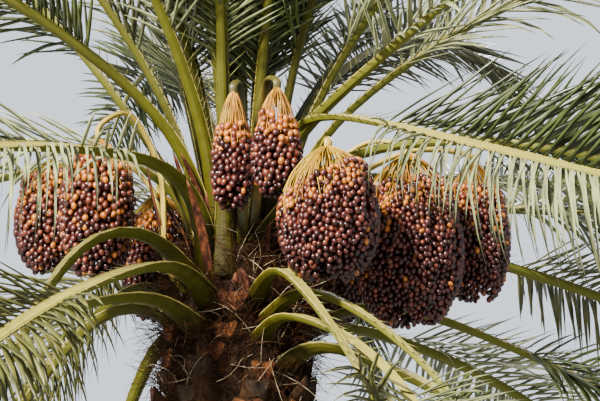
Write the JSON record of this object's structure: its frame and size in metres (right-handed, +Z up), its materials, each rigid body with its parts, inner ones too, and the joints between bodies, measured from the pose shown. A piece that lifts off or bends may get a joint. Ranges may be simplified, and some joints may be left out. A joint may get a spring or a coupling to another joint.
{
  "type": "date palm tree",
  "caption": "Bearing date palm with a stout trunk clad in old leaf bases, a full crown of feather fronds and hanging bunches of dates.",
  "frame": {"origin": "middle of the flat cut under the trunk, at ground level", "axes": "+Z up along the trunk; -Y is the front, towards the viewer of the picture; +X is to the viewer's right"},
  "size_m": [7.2995, 7.0003, 6.7989],
  "materials": {
    "bark_brown": "rough",
    "frond_green": "satin",
    "stalk_yellow": "satin",
    "date_brown": "glossy"
  },
  "bodies": {
    "root": {"bunch_stalk_1": "stalk_yellow", "bunch_stalk_2": "stalk_yellow", "bunch_stalk_3": "stalk_yellow", "bunch_stalk_4": "stalk_yellow", "bunch_stalk_5": "stalk_yellow", "bunch_stalk_6": "stalk_yellow", "bunch_stalk_7": "stalk_yellow", "bunch_stalk_8": "stalk_yellow", "bunch_stalk_9": "stalk_yellow", "date_bunch_1": "date_brown", "date_bunch_2": "date_brown", "date_bunch_3": "date_brown", "date_bunch_4": "date_brown", "date_bunch_5": "date_brown", "date_bunch_6": "date_brown", "date_bunch_7": "date_brown", "date_bunch_8": "date_brown", "date_bunch_9": "date_brown", "drooping_frond_1": "frond_green", "drooping_frond_10": "frond_green", "drooping_frond_2": "frond_green", "drooping_frond_3": "frond_green", "drooping_frond_4": "frond_green", "drooping_frond_5": "frond_green", "drooping_frond_6": "frond_green", "drooping_frond_7": "frond_green", "drooping_frond_8": "frond_green", "drooping_frond_9": "frond_green", "leaning_frond_1_inner": "frond_green", "leaning_frond_1_outer": "frond_green", "leaning_frond_2_inner": "frond_green", "leaning_frond_2_outer": "frond_green", "leaning_frond_3_inner": "frond_green", "leaning_frond_3_outer": "frond_green", "leaning_frond_4_inner": "frond_green", "leaning_frond_4_outer": "frond_green", "leaning_frond_5_inner": "frond_green", "leaning_frond_5_outer": "frond_green", "leaning_frond_6_inner": "frond_green", "leaning_frond_6_outer": "frond_green", "spreading_frond_1_inner": "frond_green", "spreading_frond_1_outer": "frond_green", "spreading_frond_2_inner": "frond_green", "spreading_frond_2_outer": "frond_green", "spreading_frond_3_inner": "frond_green", "spreading_frond_3_outer": "frond_green", "spreading_frond_4_inner": "frond_green", "spreading_frond_4_outer": "frond_green", "spreading_frond_5_inner": "frond_green", "spreading_frond_5_outer": "frond_green", "spreading_frond_6_inner": "frond_green", "spreading_frond_6_outer": "frond_green", "spreading_frond_7_inner": "frond_green", "spreading_frond_7_outer": "frond_green", "spreading_frond_8_inner": "frond_green", "spreading_frond_8_outer": "frond_green", "trunk": "bark_brown", "upright_fronds_1": "frond_green", "upright_fronds_2": "frond_green", "upright_fronds_3": "frond_green"}
  },
  "joints": []
}
